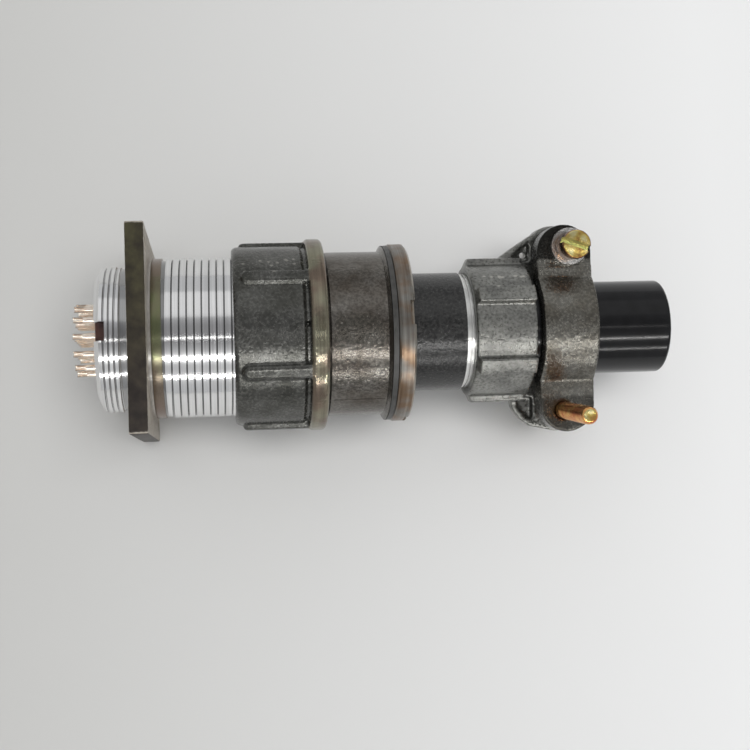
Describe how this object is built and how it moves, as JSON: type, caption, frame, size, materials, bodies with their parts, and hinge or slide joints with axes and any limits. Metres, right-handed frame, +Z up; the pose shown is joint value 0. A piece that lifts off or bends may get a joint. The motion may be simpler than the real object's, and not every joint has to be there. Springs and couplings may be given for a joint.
{
  "type": "threaded circular connector pair",
  "caption": "Mated multi-contact circular connector: square-flange receptacle, screwed coupling nut, rear tube, screw clamp and rubber cable bushing.",
  "frame": {"origin": "centre of the flange's rear seating face, on the connector's axis", "axes": "+X along the axis from the flange to the cable, +Y and +Z along the flange's sides, +Z up; the clamp is turned 7 degrees from +Z towards -Y"},
  "size_m": [0.1188, 0.0434, 0.0445],
  "materials": {
    "bright_metal": "bright turned",
    "olive_plated": "olive plated, satin",
    "cast_barrel": "rough cast, dark olive",
    "black_tube": "satin black",
    "red_brown_moulding": "moulded",
    "black_rubber": "satin",
    "gold_contact": "gold plated",
    "yellow_zinc": "yellow zinc",
    "bright_washer": "bright",
    "spring_steel": "bright"
  },
  "bodies": {
    "receptacle": {"receptacle_shell": "bright_metal", "receptacle_insert": "red_brown_moulding", "interface_gasket": "black_rubber", "pin_contact_01": "gold_contact", "pin_contact_02": "gold_contact", "pin_contact_03": "gold_contact", "pin_contact_04": "gold_contact", "pin_contact_05": "gold_contact", "pin_contact_06": "gold_contact", "pin_contact_07": "gold_contact", "pin_contact_08": "gold_contact", "pin_contact_09": "gold_contact", "pin_contact_10": "gold_contact", "pin_contact_11": "gold_contact", "pin_contact_12": "gold_contact", "pin_contact_13": "gold_contact", "pin_contact_14": "gold_contact", "pin_contact_15": "gold_contact", "pin_contact_16": "gold_contact", "pin_contact_17": "gold_contact", "pin_contact_18": "gold_contact", "pin_contact_19": "gold_contact"},
    "plug": {"plug_shell": "cast_barrel", "plug_insert": "red_brown_moulding", "socket_contacts": "gold_contact", "nut_retaining_ring": "spring_steel", "sealing_ring": "black_rubber", "lock_ring": "olive_plated", "rear_tube": "black_tube", "clamp_body": "olive_plated", "cable_bushing": "black_rubber", "lock_washer_bottom": "bright_washer"},
    "nut": {"coupling_nut": "olive_plated"},
    "saddle": {"clamp_saddle": "olive_plated", "lock_washer_top": "bright_washer"},
    "screw_top": {"clamp_screw_top": "yellow_zinc"},
    "screw_bottom": {"clamp_screw_bottom": "yellow_zinc"}
  },
  "joints": [
    {"name": "plug_slide", "type": "slide", "parent": "receptacle", "child": "plug", "axis": [1, 0, 0], "range_m": [0, 0.00988]},
    {"name": "nut_turn", "type": "hinge", "parent": "plug", "child": "nut", "pos_m": [0.0285, 0, 0], "axis": [1, 0, 0], "range_deg": [0, 2520]},
    {"name": "screw_bottom_turn", "type": "hinge", "parent": "plug", "child": "screw_bottom", "pos_m": [0.085, -0.01628, -0.002], "axis": [0, 0.1219, -0.9925], "range_deg": [0, 7200]},
    {"name": "saddle_lift", "type": "slide", "parent": "plug", "child": "saddle", "axis": [0, -0.1219, 0.9925], "range_m": [0, 0.01587]},
    {"name": "screw_top_turn", "type": "hinge", "parent": "saddle", "child": "screw_top", "pos_m": [0.0867, 0.01628, 0.002], "axis": [0, -0.1219, 0.9925], "range_deg": [0, 7200]}
  ],
  "couplings": [
    {"joint": "nut_turn", "follows": "plug_slide", "rad_per_m": 4452.7},
    {"joint": "screw_bottom_turn", "follows": "saddle_lift", "rad_per_m": 7915.8},
    {"joint": "screw_top_turn", "follows": "saddle_lift", "rad_per_m": 7915.8}
  ]
}
